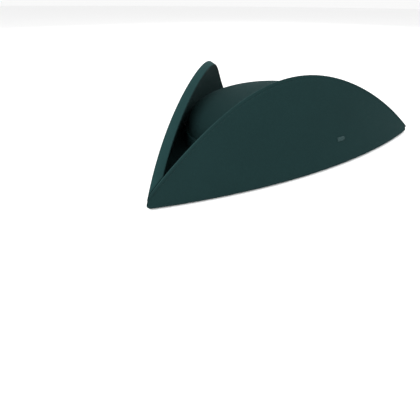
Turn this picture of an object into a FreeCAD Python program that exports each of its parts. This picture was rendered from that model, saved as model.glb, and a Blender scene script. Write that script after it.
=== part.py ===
"""Three-cornered cocked hat of stiffened wool felt, 57 cm head size.

The hat lies on the flat underside of its brim.  The frame is in millimetres: the origin is the middle of
the head opening on the plane the hat rests on, +Z is up, the front point is towards -Y and the wearer's
left is +X.  The brim is a flat floor round the crown with three flaps that fold up along curved creases
and lean in towards the crown.  Every flap turns about the straight axis through the middle of its crease.
"""
import FreeCAD, Part
import math
import os

Vector = FreeCAD.Vector

# Plan of the brim, measured from the middle of the head opening
FRONT_REACH = 187.0        # to the front point
REAR_REACH = 106.0         # to the line through the two rear points
REAR_HALF_WIDTH = 155.5    # half the distance between the rear points
SIDE_BULGE = 24.7          # how far a side crease bows out from its chord
REAR_BULGE = 20.0          # the same for the rear crease

# Brim sandwich
FELT = 2.2                 # thickness of each felt ply
CORE = 3.6                 # thickness of the stiffener between the plies
BRIM = 2 * FELT + CORE
FOLD_GAP = 0.5             # between the floor's edge and a flap's inner face
MITRE_GAP = 0.8            # between two flaps where they meet at a point

# Flaps
SIDE_RISE = 89.0           # peak of a side flap above the table
SIDE_REACH = 40.0          # how far that peak leans in from the crease
REAR_RISE = 38.0
REAR_LEAN_IN = 8.0
CURL_HALF_ANGLE = 9.0      # half the angle that a flap's section curls through, degrees
PROFILE_START = 1.02       # fullness of a flap's outline towards the front point
PROFILE_END = 1.07         # fullness towards the rear point
TIP_HEIGHT = 9.0           # height that is left of a flap at its points

# Flap edge
BINDING_DEPTH = 3.0        # how far the edge binding reaches down the flap
STAY_WIDTH = 2.4           # flat steel stay that runs inside the edge
STAY_THICKNESS = 1.6
STAY_GAP = 0.4             # round the stay, to the binding and to the core
STAY_TIP_MARGIN = 14.0     # the stay stops this far short of a flap's points

# Crown
CROWN_HALF_WIDTH = 85.0
CROWN_HALF_LENGTH = 104.0
CROWN_TOP = 60.0
CROWN_SPRING = 28.0        # height where the wall starts to round over
CROWN_WALL = 3.0
SHOULDER_RISE = 2.8        # exponents of the rounded shoulder
SHOULDER_WIDTH = 2.2

# Band round the crown
BAND_THICKNESS = 3.5
BAND_HEIGHT = 18.0
BAND_GAP = 0.15
BAND_ROUND = 1.4

# Inside the crown
LINING = 0.6
LINING_GAP = 0.2
LINING_FOOT = 12.0         # height where the lining starts
LINING_SEAM = 43.0         # height of the seam between the lining's side and its tip
SEAM_GAP = 0.4
SWEATBAND = 1.2
SWEATBAND_FOOT = 3.4
SWEATBAND_TOP = 32.0
REED = 1.0                 # radius of the cord that the sweatband's lower edge is sewn round
REED_GAP = 0.3

# Press studs that hold the flaps up
SNAP_STATION_SIDE = 0.455  # share of the chord from the front point
SNAP_STATION_REAR = 0.5
SNAP_HEIGHT = 14.0         # up the flap from its crease
STUD_RADIUS = 4.5
STUD_FLANGE = 0.8
POST_RADIUS = 1.5
POST_LENGTH = 1.8
SOCKET_RADIUS = 4.5
SNAP_CLEARANCE = 0.4
SOCKET_REACH = 9.0         # longest socket body, before the band cuts it to length
SEAT_GAP = 0.1             # between a flat fitting and the curved felt behind it

# Bar tack on each side flap
TACK_STATION = 0.5875
TACK_HEIGHT = 23.0
TACK_LENGTH = 10.0
TACK_WIDTH = 4.0
TACK_THICKNESS = 1.2

# Working sizes
BIG = 600.0                # larger than the whole hat
OUTLINE_STEPS = 16
PROFILE_STEPS = 10
OVERRUN_DEGREES = 4.0      # a flap is swept past its points before the mitres cut it


def unit(x, y):
    """Return the unit vector along (x, y) in the plan."""
    length = math.hypot(x, y)
    return Vector(x / length, y / length, 0)


def wire_face(edges):
    """Return a face bounded by a closed run of edges."""
    return Part.Face(Part.Wire(edges))


def line(start, end):
    """Return a straight edge."""
    return Part.LineSegment(start, end).toShape()


def arc(start, middle, end):
    """Return a circular edge through three points."""
    return Part.Arc(start, middle, end).toShape()


def half_space(point, normal):
    """Return a large box on the side of a vertical plane that its normal points to."""
    block = Part.makeBox(BIG, 2 * BIG, 2 * BIG, Vector(0, -BIG, -BIG))
    block.rotate(Vector(0, 0, 0), Vector(0, 0, 1), math.degrees(math.atan2(normal.y, normal.x)))
    block.translate(point)
    return block


def slab(low, high):
    """Return a large horizontal slab between two heights."""
    return Part.makeBox(2 * BIG, 2 * BIG, high - low, Vector(-BIG, -BIG, low))


def save(name, shape):
    """Write one node."""
    shape.exportStep("parts/" + name + ".step")


class Flap:
    """One turned-up flap and the crease that it folds along.

    It is drawn in its own frame: x runs along the chord from the first point to the second, y runs in
    towards the head and z is up, with the origin in the middle of the chord.
    """

    def __init__(self, name, first, second, bulge, rise, lean_in, skew, snap_station):
        self.name = name
        self.first = first
        self.second = second
        self.bulge = bulge
        self.along = unit(second.x - first.x, second.y - first.y)
        self.outward = Vector(self.along.y, -self.along.x, 0)
        self.half_chord = (second - first).Length / 2
        self.fold_radius = (self.half_chord ** 2 + bulge ** 2) / (2 * bulge)
        self.half_angle = math.asin(self.half_chord / self.fold_radius)
        self.foot = Vector(0, BRIM / 2 - bulge, BRIM / 2)
        self.lean = math.atan2(lean_in, rise - BRIM / 2)
        self.slant = math.hypot(lean_in, rise - BRIM / 2)
        self.curl = math.radians(CURL_HALF_ANGLE)
        self.start_lean = self.lean - self.curl
        self.curl_radius = self.slant / (2 * math.sin(self.curl))
        self.skew = skew
        self.snap_station = snap_station

    def fold_axis(self):
        """Return the vertical axis line's foot that the crease curves about."""
        return Vector(0, self.fold_radius - self.bulge, 0)

    def curl_centre(self):
        """Return the centre that the flap's section curls about."""
        inward = Vector(0, math.cos(self.start_lean), -math.sin(self.start_lean))
        return self.foot + inward * self.curl_radius

    def section_point(self, depth, climb):
        """Return the point of the section at a depth below the middle ply and a distance up the flap."""
        lean = self.start_lean + climb / self.curl_radius
        outward = Vector(0, -math.cos(lean), math.sin(lean))
        return self.curl_centre() + outward * (self.curl_radius - depth)

    def strip(self, depth, low, high):
        """Return the section's arc at one depth between two climbs."""
        middle = (low + high) / 2
        points = [self.section_point(depth, climb) for climb in (low, middle, high)]
        return arc(*points)

    def foot_arc(self, radius):
        """Return the half circle under the flap's foot, from its outer to its inner side."""
        side = self.section_point(radius, 0) - self.foot
        below = Vector(0, -math.sin(self.start_lean), -math.cos(self.start_lean)) * radius
        return arc(self.foot - side, self.foot + below, self.foot + side)

    def sweep(self, face):
        """Turn a section about the crease's axis into a flap-long solid."""
        angle = 2 * (math.degrees(self.half_angle) + OVERRUN_DEGREES)
        face = face.copy()
        face.rotate(self.fold_axis(), Vector(0, 0, 1), -angle / 2)
        return face.revolve(self.fold_axis(), Vector(0, 0, 1), angle)

    def top(self):
        """Return a climb that lies above the flap's edge."""
        return self.slant + 4 * BRIM

    def outer_ply(self):
        """Return the outer felt, which wraps round the foot."""
        top = self.top()
        half = BRIM / 2
        core = CORE / 2
        edges = [
            self.strip(-half, top, 0),
            self.foot_arc(half),
            line(self.section_point(half, 0), self.section_point(core, 0)),
            self.foot_arc(core),
            self.strip(-core, 0, top),
            line(self.section_point(-core, top), self.section_point(-half, top)),
        ]
        return self.sweep(wire_face(edges))

    def core_ply(self):
        """Return the stiffener between the felts."""
        top = self.top()
        core = CORE / 2
        edges = [
            self.strip(-core, top, 0),
            self.foot_arc(core),
            self.strip(core, 0, top),
            line(self.section_point(core, top), self.section_point(-core, top)),
        ]
        return self.sweep(wire_face(edges))

    def layer(self, outer, inner, low):
        """Return a plain layer of the flap between two depths, from a climb to the top."""
        top = self.top()
        edges = [
            self.strip(outer, top, low),
            line(self.section_point(outer, low), self.section_point(inner, low)),
            self.strip(inner, low, top),
            line(self.section_point(inner, top), self.section_point(outer, top)),
        ]
        return self.sweep(wire_face(edges))

    def fullness(self, share):
        """Return the outline's height at a share of the crease, from 0 at the points to 1 at its peak."""
        start, end = self.skew
        peak = start / (start + end)
        scale = peak ** start * (1 - peak) ** end
        return share ** start * (1 - share) ** end / scale

    def outline_point(self, share):
        """Return where the free edge passes a share of the crease, on the slanting outline plane."""
        climb = TIP_HEIGHT - BRIM / 2 + (self.slant - TIP_HEIGHT + BRIM / 2) * self.fullness(share)
        point = self.section_point(-BRIM / 2, climb)
        angle = self.half_angle * (2 * share - 1)
        radius = self.fold_axis().y - point.y
        across = self.fold_axis().y - radius * math.cos(angle)
        up = across * math.sin(self.lean) + point.z * math.cos(self.lean)
        return Vector(radius * math.sin(angle), up, 0)

    def outline(self, inset):
        """Return the outline's points, moved in square to the edge."""
        shares = [step / OUTLINE_STEPS for step in range(OUTLINE_STEPS + 1)]
        points = [self.outline_point(share) for share in shares]
        moved = []
        for index, point in enumerate(points):
            before = points[max(index - 1, 0)]
            after = points[min(index + 1, OUTLINE_STEPS)]
            along = unit(after.x - before.x, after.y - before.y)
            moved.append(point + Vector(along.y, -along.x, 0) * inset)
        return moved

    def on_plane(self, point, depth):
        """Place a point of the outline plane in the flap's frame, at a depth square to that plane."""
        cosine = math.cos(self.lean)
        sine = math.sin(self.lean)
        return Vector(point.x, point.y * sine - depth * cosine, point.y * cosine + depth * sine)

    def cutter(self, inset):
        """Return the block that holds everything of the flap inside its inset outline."""
        points = self.outline(inset)
        curve = Part.BSplineCurve()
        curve.interpolate([self.on_plane(point, -BIG / 2) for point in points])
        margin = Vector(0 if inset else 2 * BRIM, 0, 0)
        left = self.on_plane(points[0] - margin, -BIG / 2)
        right = self.on_plane(points[-1] + margin, -BIG / 2)
        drop = self.on_plane(Vector(0, -BIG / 4, 0), 0)
        edges = [curve.toShape()]
        corners = [right, right + drop, left + drop, left]
        if not inset:
            edges.append(line(self.on_plane(points[-1], -BIG / 2), right))
        edges += [line(corners[k], corners[k + 1]) for k in range(3)]
        if not inset:
            edges.append(line(left, self.on_plane(points[0], -BIG / 2)))
        along = self.on_plane(Vector(0, 0, 0), BIG)
        return wire_face(edges).extrude(along)

    def place(self, shape):
        """Move a shape from the flap's frame to the hat's."""
        moved = shape.copy()
        turn = math.degrees(math.atan2(self.along.y, self.along.x))
        moved.rotate(Vector(0, 0, 0), Vector(0, 0, 1), turn)
        moved.translate((self.first + self.second) * 0.5)
        return moved

    def floor_limit(self):
        """Return the solid that the brim floor stays inside, clear of the flap's foot and inner face."""
        axis = self.fold_axis()
        depth = BRIM / 2 + FOLD_GAP
        disc = Part.makeCylinder(self.fold_radius - BRIM - FOLD_GAP, BIG, axis - Vector(0, 0, BIG / 2))
        low, high = -2 * BRIM, 2 * BRIM
        bottom = self.section_point(depth, low)
        top = self.section_point(depth, high)
        centre_low = Vector(0, axis.y, bottom.z)
        centre_high = Vector(0, axis.y, top.z)
        edges = [
            self.strip(depth, low, high),
            line(top, centre_high),
            line(centre_high, centre_low),
            line(centre_low, bottom),
        ]
        return disc.common(wire_face(edges).revolve(axis, Vector(0, 0, 1), 360))

    def mitre(self, shape, corners):
        """Place a shape and cut its ends where it meets the two neighbouring flaps."""
        placed = self.place(shape)
        for point, normal in corners:
            placed = placed.common(half_space(point + normal * (MITRE_GAP / 2), normal))
        return placed

    def fitting(self, shape, station):
        """Turn a fitting drawn on the middle section to its station along the crease."""
        turned = shape.copy()
        angle = math.degrees(self.half_angle) * (2 * station - 1)
        turned.rotate(self.fold_axis(), Vector(0, 0, 1), angle)
        return self.place(turned)


def corner_normals(points):
    """Return, for each corner, the normal of its mitre plane, which points to the flap that starts there."""
    normals = []
    for index, point in enumerate(points):
        ahead = points[(index + 1) % 3] - point
        behind = points[index - 1] - point
        split = unit(ahead.x, ahead.y) + unit(behind.x, behind.y)
        normal = unit(-split.y, split.x)
        normals.append(normal if normal.dot(ahead) > 0 else normal * -1)
    return normals


def flap_parts(flap, corners):
    """Return the plies and edge pieces of one flap, by name."""
    inside = flap.cutter(BINDING_DEPTH)
    whole = flap.cutter(0)
    inner_ply = flap.layer(CORE / 2, BRIM / 2, 0)
    stack = flap.outer_ply().fuse([flap.core_ply(), inner_ply]).removeSplitter()
    core_edge = BINDING_DEPTH + 2 * STAY_GAP + STAY_WIDTH
    stay_low = BINDING_DEPTH + STAY_GAP
    stay = flap.layer(-STAY_THICKNESS / 2, STAY_THICKNESS / 2, BRIM)
    stay = stay.common(flap.cutter(stay_low)).cut(flap.cutter(stay_low + STAY_WIDTH))
    reach = flap.half_chord - STAY_TIP_MARGIN
    stay = stay.common(Part.makeBox(2 * reach, BIG, BIG, Vector(-reach, -BIG / 2, BRIM)))
    parts = {
        "outer_felt": flap.outer_ply().common(inside),
        "core": flap.core_ply().common(flap.cutter(core_edge)),
        "inner_felt": inner_ply.common(inside),
        "edge_binding": stack.common(whole).cut(inside),
        "edge_stay": stay,
    }
    return {name: flap.mitre(shape, corners) for name, shape in parts.items()}


def snap_axis(flap):
    """Return the stud's seat on the flap's inner face and the direction that it points in."""
    seat = flap.section_point(BRIM / 2, SNAP_HEIGHT)
    direction = flap.section_point(BRIM / 2 + 1, SNAP_HEIGHT) - seat
    return seat + direction * SEAT_GAP, direction


def snap_stud(flap):
    """Return the stud on the flap: a round flange and a post."""
    seat, direction = snap_axis(flap)
    flange = Part.makeCylinder(STUD_RADIUS, STUD_FLANGE, seat, direction)
    post = Part.makeCylinder(POST_RADIUS, STUD_FLANGE + POST_LENGTH, seat, direction)
    return flap.fitting(flange.fuse(post).removeSplitter(), flap.snap_station)


def snap_socket(flap, backing):
    """Return the socket on the band, cut to the surfaces of the solids behind it."""
    seat, direction = snap_axis(flap)
    mouth = seat + direction * (STUD_FLANGE + SNAP_CLEARANCE)
    body = Part.makeCylinder(SOCKET_RADIUS, SOCKET_REACH, mouth, direction)
    bore = Part.makeCylinder(POST_RADIUS + SNAP_CLEARANCE, POST_LENGTH, mouth, direction)
    placed = flap.fitting(body.cut(bore), flap.snap_station)
    for solid in backing:
        placed = placed.cut(solid)
    centre = flap.fitting(Part.Vertex(mouth), flap.snap_station).Point
    return min(placed.Solids, key=lambda piece: piece.CenterOfMass.distanceToPoint(centre))


def bar_tack(flap):
    """Return the bar of thread on the outer face, with rounded ends."""
    low = flap.section_point(-BRIM / 2 - SEAT_GAP, TACK_HEIGHT)
    outward = flap.section_point(-BRIM / 2 - SEAT_GAP - 1, TACK_HEIGHT) - low
    reach = (TACK_LENGTH - TACK_WIDTH) / 2
    run = Vector(reach, 0, 0)
    rise = outward.cross(Vector(1, 0, 0)) * (TACK_WIDTH / 2)
    corners = [low + run + rise, low - run + rise, low - run - rise, low + run - rise]
    end = Vector(TACK_WIDTH / 2, 0, 0)
    edges = [
        line(corners[0], corners[1]),
        arc(corners[1], low - run - end, corners[2]),
        line(corners[2], corners[3]),
        arc(corners[3], low + run + end, corners[0]),
    ]
    bar = wire_face(edges).extrude(outward * TACK_THICKNESS)
    return flap.fitting(bar, TACK_STATION)


def dome(grow):
    """Return the solid crown shape, grown outwards everywhere by a distance and open-ended below."""
    half_width = CROWN_HALF_WIDTH + grow
    rise = CROWN_TOP + grow - CROWN_SPRING
    points = []
    for step in range(PROFILE_STEPS + 1):
        share = math.sin(step / PROFILE_STEPS * math.pi / 2)
        width = half_width * (1 - share ** SHOULDER_RISE) ** (1 / SHOULDER_WIDTH)
        points.append(Vector(width, 0, CROWN_SPRING + rise * share))
    shoulder = Part.BSplineCurve()
    shoulder.interpolate(points, InitialTangent=Vector(0, 0, 1), FinalTangent=Vector(-1, 0, 0))
    low = Vector(half_width, 0, -BRIM)
    edges = [
        line(Vector(0, 0, -BRIM), low),
        line(low, points[0]),
        shoulder.toShape(),
        line(points[-1], Vector(0, 0, -BRIM)),
    ]
    round_dome = wire_face(edges).revolve(Vector(0, 0, 0), Vector(0, 0, 1), 360)
    stretch = FreeCAD.Matrix()
    stretch.scale(1, (CROWN_HALF_LENGTH + grow) / half_width, 1)
    return round_dome.transformGeometry(stretch)


def wall(outer, thickness, low, high):
    """Return a wall that follows the crown between two heights; outer is its face's growth."""
    return dome(outer).cut(dome(outer - thickness)).common(slab(low, high))


def crown_parts():
    """Return the crown, its band, its lining and its sweatband, by name."""
    lining_face = -CROWN_WALL - LINING_GAP
    sweat_face = lining_face - LINING - LINING_GAP
    band = wall(BAND_GAP + BAND_THICKNESS, BAND_THICKNESS, BRIM, BRIM + BAND_HEIGHT)
    rims = [edge for edge in band.Edges if is_top_rim(edge, BRIM + BAND_HEIGHT)]
    outer_rim = max(rims, key=lambda edge: edge.Length)
    reed_line = CROWN_HALF_WIDTH + sweat_face - SWEATBAND / 2
    reed = Part.makeTorus(reed_line, REED)
    reed_stretch = FreeCAD.Matrix()
    reed_stretch.scale(1, (reed_line + CROWN_HALF_LENGTH - CROWN_HALF_WIDTH) / reed_line, 1)
    reed = reed.transformGeometry(reed_stretch)
    reed.translate(Vector(0, 0, SWEATBAND_FOOT - REED - REED_GAP))
    return {
        "crown_shell": wall(0, CROWN_WALL, BRIM, BIG),
        "hat_band": band.makeFillet(BAND_ROUND, [outer_rim]),
        "lining_side": wall(lining_face, LINING, LINING_FOOT, LINING_SEAM - SEAM_GAP),
        "lining_tip": wall(lining_face, LINING, LINING_SEAM, BIG),
        "sweatband": wall(sweat_face, SWEATBAND, SWEATBAND_FOOT, SWEATBAND_TOP),
        "sweatband_reed": reed,
    }


def is_top_rim(edge, height):
    """Tell whether an edge lies level at a height."""
    box = edge.BoundBox
    return abs(box.ZMin - height) < 0.01 and abs(box.ZMax - height) < 0.01


def floor_parts(flaps):
    """Return the plies of the brim floor, which the three creases bound, by name."""
    heights = {
        "brim_under_felt": (0, FELT),
        "brim_core": (FELT, FELT + CORE),
        "brim_top_felt": (FELT + CORE, BRIM),
    }
    opening = dome(-CROWN_WALL)
    limits = [flap.place(flap.floor_limit()) for flap in flaps]
    parts = {}
    for name, (low, high) in heights.items():
        ply = slab(low, high)
        for limit in limits:
            ply = ply.common(limit)
        parts[name] = ply.cut(opening)
    return parts


def main():
    """Build every node and write it."""
    os.makedirs("parts", exist_ok=True)
    points = [
        Vector(0, -FRONT_REACH, 0),
        Vector(REAR_HALF_WIDTH, REAR_REACH, 0),
        Vector(-REAR_HALF_WIDTH, REAR_REACH, 0),
    ]
    side = (SIDE_BULGE, SIDE_RISE, SIDE_REACH)
    rear = (REAR_BULGE, REAR_RISE, REAR_LEAN_IN)
    skew = (PROFILE_START, PROFILE_END)
    flaps = [
        Flap("left", points[0], points[1], *side, skew, SNAP_STATION_SIDE),
        Flap("rear", points[1], points[2], *rear, (PROFILE_START, PROFILE_START), SNAP_STATION_REAR),
        Flap("right", points[2], points[0], *side, skew[::-1], 1 - SNAP_STATION_SIDE),
    ]
    normals = corner_normals(points)
    crown = crown_parts()
    floor = floor_parts(flaps)
    for name, shape in {**crown, **floor}.items():
        save(name, shape)
    backing = (crown["hat_band"], dome(0))
    for index, flap in enumerate(flaps):
        after = (index + 1) % 3
        corners = [(points[index], normals[index]), (points[after], normals[after] * -1)]
        for name, shape in flap_parts(flap, corners).items():
            save(flap.name + "_flap_" + name, shape)
        save(flap.name + "_snap_stud", snap_stud(flap))
        save(flap.name + "_snap_socket", snap_socket(flap, backing))
    save("left_flap_bar_tack", bar_tack(flaps[0]))
    mirrored = bar_tack(flaps[0]).mirror(Vector(0, 0, 0), Vector(1, 0, 0))
    save("right_flap_bar_tack", mirrored)


main()
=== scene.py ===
"""Looks of a three-cornered cocked hat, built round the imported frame.

The hat is wool felt: an oval crown with a ribbon round it, a flat brim floor and three flaps
that rise from curved creases.  Every length is in metres, the origin is the middle of the head
opening on the plane that the hat rests on, +Z is up, -Y is the front point and +X is the
wearer's left.
"""
import logging
import math
from dataclasses import dataclass
from enum import Enum
from typing import Callable, Iterable, Sequence

import bpy
import bmesh
import numpy as np
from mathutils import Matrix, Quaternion, Vector


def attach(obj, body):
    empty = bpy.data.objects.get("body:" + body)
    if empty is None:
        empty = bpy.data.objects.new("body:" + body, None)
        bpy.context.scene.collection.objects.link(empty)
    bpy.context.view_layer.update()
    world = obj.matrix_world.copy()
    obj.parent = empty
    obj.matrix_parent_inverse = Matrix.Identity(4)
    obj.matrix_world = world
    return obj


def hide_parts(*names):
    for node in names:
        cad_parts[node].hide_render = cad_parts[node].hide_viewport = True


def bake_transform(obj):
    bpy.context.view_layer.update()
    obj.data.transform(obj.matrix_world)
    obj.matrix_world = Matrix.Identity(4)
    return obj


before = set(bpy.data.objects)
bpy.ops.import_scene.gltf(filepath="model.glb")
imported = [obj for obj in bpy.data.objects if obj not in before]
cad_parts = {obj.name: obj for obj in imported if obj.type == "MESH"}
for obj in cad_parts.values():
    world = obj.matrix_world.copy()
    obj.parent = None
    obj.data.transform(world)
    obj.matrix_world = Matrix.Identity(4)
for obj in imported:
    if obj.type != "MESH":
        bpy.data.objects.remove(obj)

log = logging.getLogger("cocked_hat")
Rows = list[list[np.ndarray]]
Folds = Callable[[np.ndarray, float], np.ndarray]
Section = Callable[[np.ndarray], tuple[np.ndarray, np.ndarray]]
MM = 0.001
MITRE_STEPS = 12
DIAGONAL_BANDS = {"wave_type": "BANDS", "bands_direction": "DIAGONAL"}


# -------------------------------------------------------------------------- shader maths
class Tree:
    """A node tree under construction, with one way to add any node."""

    def __init__(self, tree: bpy.types.NodeTree) -> None:
        """Wrap a node tree.

        Args:
            tree: the tree that nodes are added to.
        """
        self.tree = tree

    def node(self, kind: str, settings: dict | None = None,
             inputs: dict | None = None) -> bpy.types.Node:
        """Add a node, set its properties and then its sockets.

        Args:
            kind: the node's type name.
            settings: properties such as an operation, or "stops" for a colour ramp.
            inputs: socket name or index to a value, a Socket or an output.

        Returns:
            The new node.
        """
        made = self.tree.nodes.new(kind)
        for name, value in (settings or {}).items():
            if name == "stops":
                self._stops(made.color_ramp, value)
            else:
                setattr(made, name, value)
        for name, value in (inputs or {}).items():
            self.feed(made.inputs[name], value)
        return made

    @staticmethod
    def _stops(ramp: bpy.types.ColorRamp, stops: Sequence[tuple[float, tuple[float, ...]]]) -> None:
        """Give a colour ramp its stops."""
        while len(ramp.elements) < len(stops):
            ramp.elements.new(1.0)
        for element, (position, colour) in zip(ramp.elements, stops):
            element.position = position
            element.color = (*colour, 1.0)

    def feed(self, socket: bpy.types.NodeSocket, value: object) -> None:
        """Link an output to a socket, or set the socket's own value."""
        if isinstance(value, Socket):
            self.tree.links.new(value.out, socket)
        elif isinstance(value, bpy.types.NodeSocket):
            self.tree.links.new(value, socket)
        else:
            socket.default_value = value

    def out(self, kind: str, output: str | int, settings: dict | None = None,
            inputs: dict | None = None) -> "Socket":
        """Add a node and return one of its outputs, ready for arithmetic."""
        return Socket(self, self.node(kind, settings, inputs).outputs[output])


class Socket:
    """A value output that takes part in Python arithmetic."""

    def __init__(self, tree: Tree, out: bpy.types.NodeSocket) -> None:
        """Wrap an output.

        Args:
            tree: the tree that new Math nodes go to.
            out: the output itself.
        """
        self.tree = tree
        self.out = out

    def _math(self, operation: str, first: object, second: object) -> "Socket":
        """Add a Math node on two operands."""
        return self.tree.out("ShaderNodeMath", 0, {"operation": operation}, {0: first, 1: second})

    def __add__(self, other: object) -> "Socket":
        """Return self + other."""
        return self._math("ADD", self, other)

    __radd__ = __add__

    def __sub__(self, other: object) -> "Socket":
        """Return self - other."""
        return self._math("SUBTRACT", self, other)

    def __rsub__(self, other: object) -> "Socket":
        """Return other - self."""
        return self._math("SUBTRACT", other, self)

    def __mul__(self, other: object) -> "Socket":
        """Return self * other."""
        return self._math("MULTIPLY", self, other)

    __rmul__ = __mul__

    def __pow__(self, other: object) -> "Socket":
        """Return self to a power."""
        return self._math("POWER", self, other)

    def clamp(self) -> "Socket":
        """Return self held between 0 and 1."""
        return self.tree.out("ShaderNodeClamp", 0, None, {0: self})


# ------------------------------------------------------------------------------ finishes
@dataclass(frozen=True)
class Finish:
    """A finish: its name, base colour and the constants of its surface."""

    name: str
    colour: tuple[float, float, float]
    roughness: float = 0.8

    def material(self) -> bpy.types.Material:
        """Return the finish as a material, built once.

        Returns:
            The material with this finish's nodes.
        """
        known = bpy.data.materials.get(self.name)
        if known:
            return known
        made = bpy.data.materials.new(self.name)
        made.use_nodes = True
        made.node_tree.nodes.clear()
        tree = Tree(made.node_tree)
        surface = tree.node("ShaderNodeBsdfPrincipled")
        tree.feed(surface.inputs["Roughness"], self.roughness)
        self.dress(tree, surface)
        tree.node("ShaderNodeOutputMaterial", None, {"Surface": surface.outputs[0]})
        return made

    def dress(self, tree: Tree, surface: bpy.types.Node) -> None:
        """Add the pattern nodes of this finish to its surface shader."""
        raise NotImplementedError

    def shade(self, amount: float) -> tuple[float, float, float, float]:
        """Return the base colour scaled by an amount, with full alpha."""
        red, green, blue = (min(channel * amount, 1.0) for channel in self.colour)
        return (red, green, blue, 1.0)

    @staticmethod
    def place(tree: Tree) -> Socket:
        """Return the Object coordinates."""
        return tree.out("ShaderNodeTexCoord", "Object")

    @staticmethod
    def noise(tree: Tree, vector: Socket, scale: float, detail: float = 3.0,
              rough: float = 0.55) -> Socket:
        """Return the height of a noise pattern."""
        return tree.out("ShaderNodeTexNoise", "Fac", None,
                        {"Vector": vector, "Scale": scale, "Detail": detail, "Roughness": rough})

    @staticmethod
    def mix(tree: Tree, factor: object, low: object, high: object, blend: str = "MIX") -> Socket:
        """Return a mix of two colours."""
        settings = {"data_type": "RGBA", "blend_type": blend}
        return tree.out("ShaderNodeMix", 2, settings, {0: factor, 6: low, 7: high})

    @staticmethod
    def bump(tree: Tree, surface: bpy.types.Node, height: Socket, depth: float) -> None:
        """Bend the surface's normal by a height pattern of a depth in metres."""
        node = tree.node("ShaderNodeBump", None,
                         {"Height": height, "Distance": depth, "Strength": 1.0})
        tree.feed(surface.inputs["Normal"], node.outputs[0])


@dataclass(frozen=True)
class Felt(Finish):
    """Milled wool felt: matted fibres, faint clouding, edges painted lighter for wear and as a
    painted highlight, and a soft bloom.
    """

    # how much lighter the edges are painted: partly wear, partly a painted highlight where light
    # falls on the rim
    wear_and_highlight_tone: float = 1.35
    sheen: float = 0.03
    sheen_tint: tuple[float, float, float, float] = (0.3, 0.7, 0.72, 1.0)
    cloud_scale: float = 26.0
    fibre_scale: float = 900.0
    wisp_scale: float = 60.0
    fleck_scale: float = 520.0
    nap_depth: float = 0.22 * MM

    def dress(self, tree: Tree, surface: bpy.types.Node) -> None:
        """Add matted fibres, clouding, and edges painted lighter for wear and as a painted
        highlight.
        """
        place = self.place(tree)
        clouds = self.noise(tree, place, self.cloud_scale, 4.0)
        fibres = self.noise(tree, place, self.fibre_scale, 4.0, 0.7)
        wisps = tree.out("ShaderNodeTexWave", "Fac", DIAGONAL_BANDS,
                         {"Vector": place, "Scale": self.wisp_scale, "Distortion": 26.0,
                          "Detail": 4.0, "Detail Scale": 3.0, "Detail Roughness": 0.7})
        flecks = tree.out("ShaderNodeTexVoronoi", "Distance", {"feature": "F1"},
                          {"Vector": place, "Scale": self.fleck_scale, "Randomness": 1.0})
        # lighter edges: partly wear, partly a painted highlight on the rim where light falls
        wear_and_highlight = tree.out("ShaderNodeAttribute", "Fac", {"attribute_name": "wear_and_highlight"})
        tone = (clouds - 0.5) * 0.5 + (fibres - 0.5) * 0.75 + (wisps - 0.5) * 0.12 + 0.5
        body = self.mix(tree, tone.clamp(), self.shade(0.8), self.shade(1.22))
        pale = (1.0 - (flecks * 2.4).clamp()) ** 6.0 * 0.35
        flecked = self.mix(tree, pale, body, self.shade(2.2))
        # mix in the lighter edge colour, partly wear and partly painted highlight
        wear_and_highlight_amount = (wear_and_highlight * (0.8 + (clouds - 0.5) * 0.9)).clamp()
        colour = self.mix(tree, wear_and_highlight_amount, flecked, self.shade(self.wear_and_highlight_tone))
        tree.feed(surface.inputs["Base Color"], colour)
        tree.feed(surface.inputs["Roughness"], (self.roughness + (fibres - 0.5) * 0.2).clamp())
        surface.inputs["Specular IOR Level"].default_value = 0.05
        surface.inputs["Sheen Weight"].default_value = self.sheen
        surface.inputs["Sheen Roughness"].default_value = 0.55
        surface.inputs["Sheen Tint"].default_value = self.sheen_tint
        nap = fibres + wisps * 0.25 + clouds * 0.6 - (flecks * 2.0).clamp() * 0.3
        self.bump(tree, surface, nap, self.nap_depth)


@dataclass(frozen=True)
class Ribbon(Finish):
    """Corded ribbon: fine ribs across its length, read from the piece's own UV map."""

    rib: float = 1.1 * MM

    def dress(self, tree: Tree, surface: bpy.types.Node) -> None:
        """Add ribs, weave and clouding."""
        uv = tree.out("ShaderNodeUVMap", 0, {"uv_map": "metres"})
        split = tree.node("ShaderNodeSeparateXYZ", None, {0: uv})
        along = Socket(tree, split.outputs[0])
        across = Socket(tree, split.outputs[1])
        ribs = self.wave(tree, along, self.rib)
        picks = self.wave(tree, across, self.rib * 0.35)
        clouds = self.noise(tree, self.place(tree), 40.0)
        tone = ribs * 0.55 + picks * 0.15 + (clouds - 0.5) * 0.5
        colour = self.mix(tree, tone.clamp(), self.shade(0.62), self.shade(1.25))
        tree.feed(surface.inputs["Base Color"], colour)
        surface.inputs["Specular IOR Level"].default_value = 0.15
        self.bump(tree, surface, ribs + picks * 0.3, 0.3 * MM)

    @staticmethod
    def wave(tree: Tree, value: Socket, pitch: float) -> Socket:
        """Return a wave from 0 to 1 with a pitch in metres."""
        turned = value * (2 * math.pi / pitch)
        return tree.out("ShaderNodeMath", 0, {"operation": "SINE"}, {0: turned}) * 0.5 + 0.5


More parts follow.
